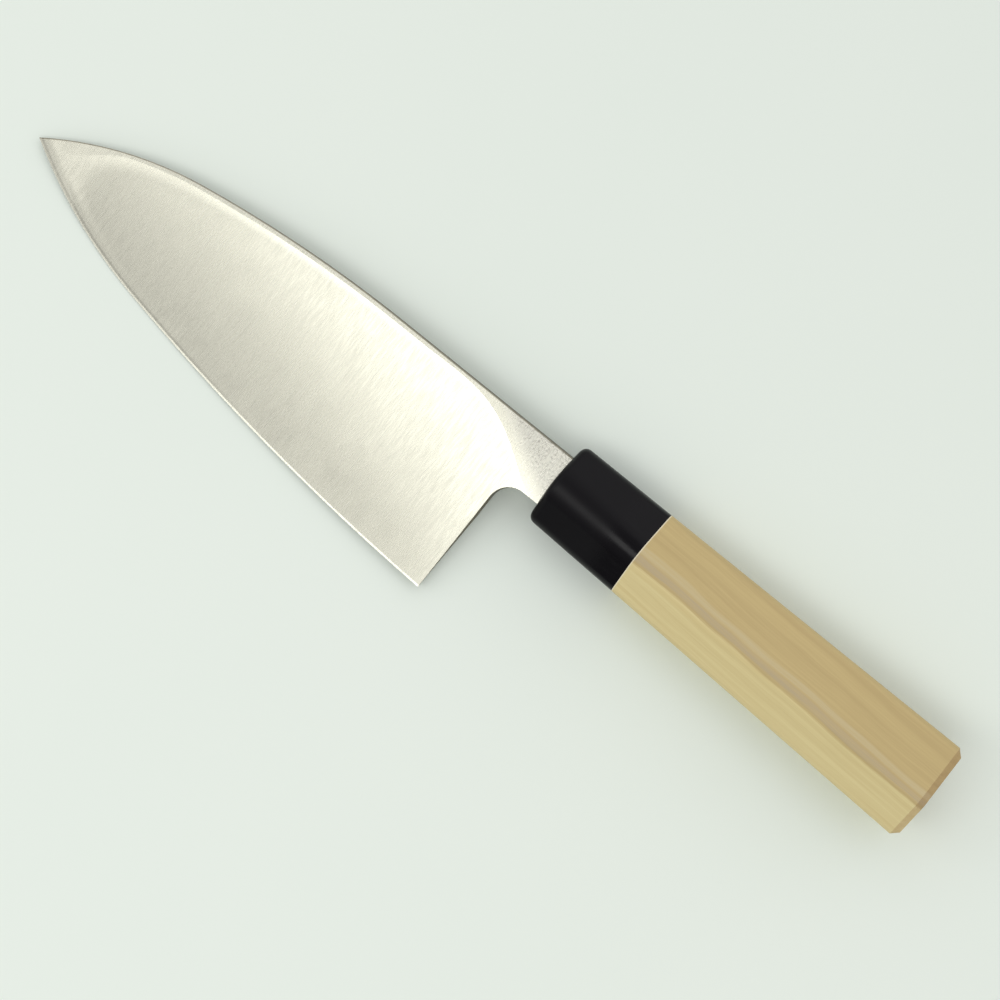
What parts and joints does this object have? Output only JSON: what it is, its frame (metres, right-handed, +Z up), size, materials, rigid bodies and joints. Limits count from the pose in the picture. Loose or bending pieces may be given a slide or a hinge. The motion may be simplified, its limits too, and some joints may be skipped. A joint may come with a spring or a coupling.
{
  "type": "butchering knife",
  "caption": "Heavy single-bevel fish butchering knife: broad hollow-ground blade, black ferrule and plain ridged wooden handle.",
  "frame": {"origin": "centre of the knife's footprint on the table it lies on", "axes": "+X from the tip towards the butt, +Y from the cutting edge towards the spine, +Z up, out of the hollow-ground face"},
  "size_m": [0.3022, 0.0574, 0.0254],
  "materials": {
    "hard_steel": "satin, wheel-ground across the blade",
    "soft_steel": "satin, finely ground",
    "ferrule": "polished black moulding",
    "wood": "sanded, unvarnished magnolia",
    "resin": "set resin"
  },
  "bodies": {
    "root": {"blade_body": "soft_steel", "edge_steel": "hard_steel", "ferrule": "ferrule", "handle_body": "wood", "mouth_seal": "resin", "tang_bedding": "resin"}
  },
  "joints": []
}
